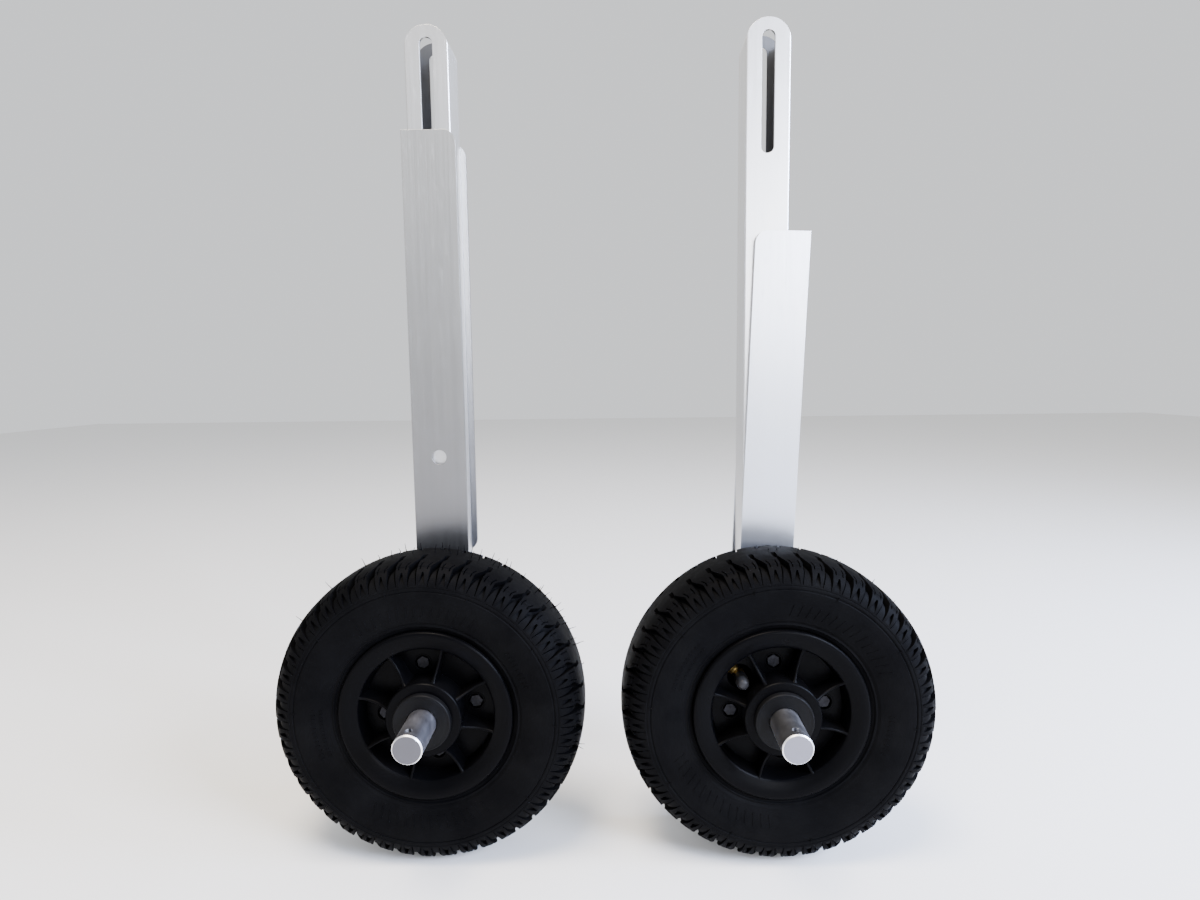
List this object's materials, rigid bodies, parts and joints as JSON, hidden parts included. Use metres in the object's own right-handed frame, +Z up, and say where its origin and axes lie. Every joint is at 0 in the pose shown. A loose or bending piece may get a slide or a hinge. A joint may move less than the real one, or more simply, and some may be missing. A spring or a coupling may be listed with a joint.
{
  "type": "beach launching cart",
  "caption": "Pair of beach launching wheels: small pneumatic wheels on stub axles, each on a square tube leg with a sliding channel bracket.",
  "frame": {"origin": "on the ground, at the middle of the footprint of the pair", "axes": "+Z up along the legs, +Y from the free axle ends towards the legs, +X from the left unit to the right one"},
  "size_m": [0.466, 0.1556, 0.596],
  "materials": {
    "leg_tube": "satin anodised extrusion",
    "channel": "satin anodised extrusion",
    "axle_bar": "turned bar, faced end",
    "steel": "zinc plated",
    "rim": "moulded nylon, semi-gloss lip",
    "bush": "moulded nylon",
    "small_bolts": "black oxide",
    "tyre": "moulded rubber tread",
    "inner_tube": "matte",
    "brass": "machined",
    "cap": "moulded"
  },
  "bodies": {
    "frame": {"left_leg": "leg_tube", "left_axle": "axle_bar", "left_stop_collar": "steel", "left_rear_washer": "steel", "left_rear_bolt": "steel", "right_leg": "leg_tube", "right_axle": "axle_bar", "right_stop_collar": "steel", "right_rear_washer": "steel", "right_rear_bolt": "steel"},
    "left_wheel": {"left_rim_front": "rim", "left_rim_rear": "rim", "left_bush_front": "bush", "left_bush_rear": "bush", "left_rim_bolts": "small_bolts", "left_rim_nuts": "small_bolts", "left_tyre": "tyre", "left_inner_tube": "inner_tube", "left_valve_stem": "brass", "left_valve_cap": "cap"},
    "left_bracket": {"left_channel": "channel"},
    "right_wheel": {"right_rim_front": "rim", "right_rim_rear": "rim", "right_bush_front": "bush", "right_bush_rear": "bush", "right_rim_bolts": "small_bolts", "right_rim_nuts": "small_bolts", "right_tyre": "tyre", "right_inner_tube": "inner_tube", "right_valve_stem": "brass", "right_valve_cap": "cap"},
    "right_bracket": {"right_channel": "channel"}
  },
  "joints": [
    {"name": "left_wheel_spin", "type": "hinge", "parent": "frame", "child": "left_wheel", "pos_m": [-0.123, -0.0056, 0.11], "axis": [0, 1, 0], "continuous": true},
    {"name": "right_wheel_spin", "type": "hinge", "parent": "frame", "child": "right_wheel", "pos_m": [0.123, -0.0056, 0.11], "axis": [0, 1, 0], "continuous": true},
    {"name": "left_bracket_slide", "type": "slide", "parent": "frame", "child": "left_bracket", "axis": [0, 0, 1], "range_m": [-0.075, 0.2994]},
    {"name": "right_bracket_slide", "type": "slide", "parent": "frame", "child": "right_bracket", "axis": [0, 0, 1], "range_m": [0, 0.3744]}
  ]
}
